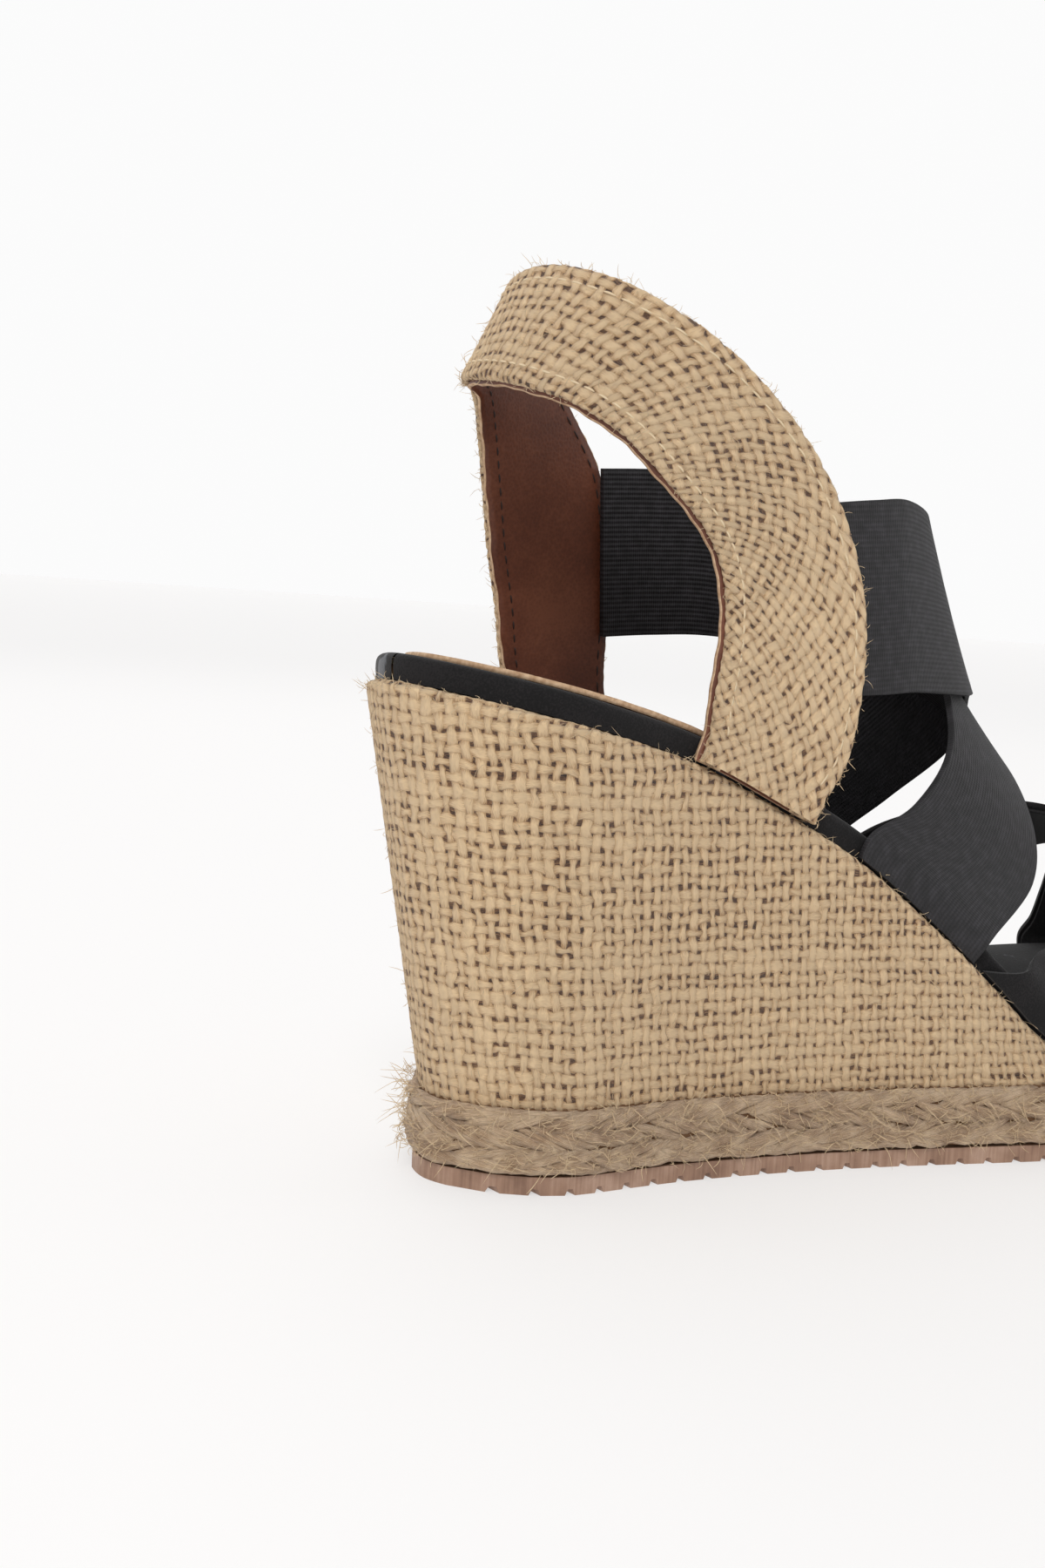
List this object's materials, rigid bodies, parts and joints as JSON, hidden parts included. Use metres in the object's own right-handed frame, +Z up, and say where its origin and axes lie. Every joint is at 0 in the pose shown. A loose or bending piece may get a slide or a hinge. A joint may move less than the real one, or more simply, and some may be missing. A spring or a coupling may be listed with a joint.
{
  "type": "wedge sandal",
  "caption": "Right slingback wedge sandal: burlap-covered wedge with braided platform, rubber outsole, crossed elastic instep straps and open toe.",
  "frame": {"origin": "on the ground under the middle of the heel seat, on the shoe's middle line", "axes": "+X to the toe, +Y to the inner side of the right foot, +Z up"},
  "size_m": [0.225, 0.0885, 0.1724],
  "materials": {
    "crepe_rubber": "matt, grooved",
    "light_foam": "light closed-cell foam, hidden",
    "jute": "braided jute cord, hairy",
    "burlap": "coarse plain weave, hairy",
    "spring_steel": "plain, hidden",
    "nail_steel": "bright, hidden",
    "fibre_board": "pressed fibre, hidden",
    "soft_foam": "soft foam, hidden",
    "black_suede": "suede nap",
    "lining_leather": "smooth, low sheen",
    "black_elastic": "ribbed woven elastic",
    "black_lining": "smooth, matt"
  },
  "bodies": {
    "shoe": {"outsole": "crepe_rubber", "platform_core": "light_foam", "jute_braid": "jute", "wedge_core": "light_foam", "wedge_cover": "burlap", "shank": "spring_steel", "insole_board": "fibre_board", "heel_nails": "nail_steel", "lasting_tacks": "nail_steel", "footbed_foam": "soft_foam", "sock_lining": "black_suede", "heel_pad": "lining_leather", "sling_tab_outer": "burlap", "sling_tab_inner": "burlap", "tab_lining_outer": "lining_leather", "tab_lining_inner": "lining_leather", "instep_elastic_outer": "black_elastic", "instep_elastic_inner": "black_elastic", "toe_band_outer": "black_suede", "toe_band_inner": "black_suede", "toe_lining_outer": "black_lining", "toe_lining_inner": "black_lining"},
    "sling": {"sling_strap": "burlap", "sling_lining": "lining_leather"}
  },
  "joints": [
    {"name": "sling_pull", "type": "hinge", "parent": "shoe", "child": "sling", "pos_m": [0.033, 0, 0.0772], "axis": [0, -1, 0], "range_deg": [-6, 12], "stiffness_Nm_per_rad": 2.5, "deforming": ["instep_elastic_outer", "instep_elastic_inner"]}
  ]
}
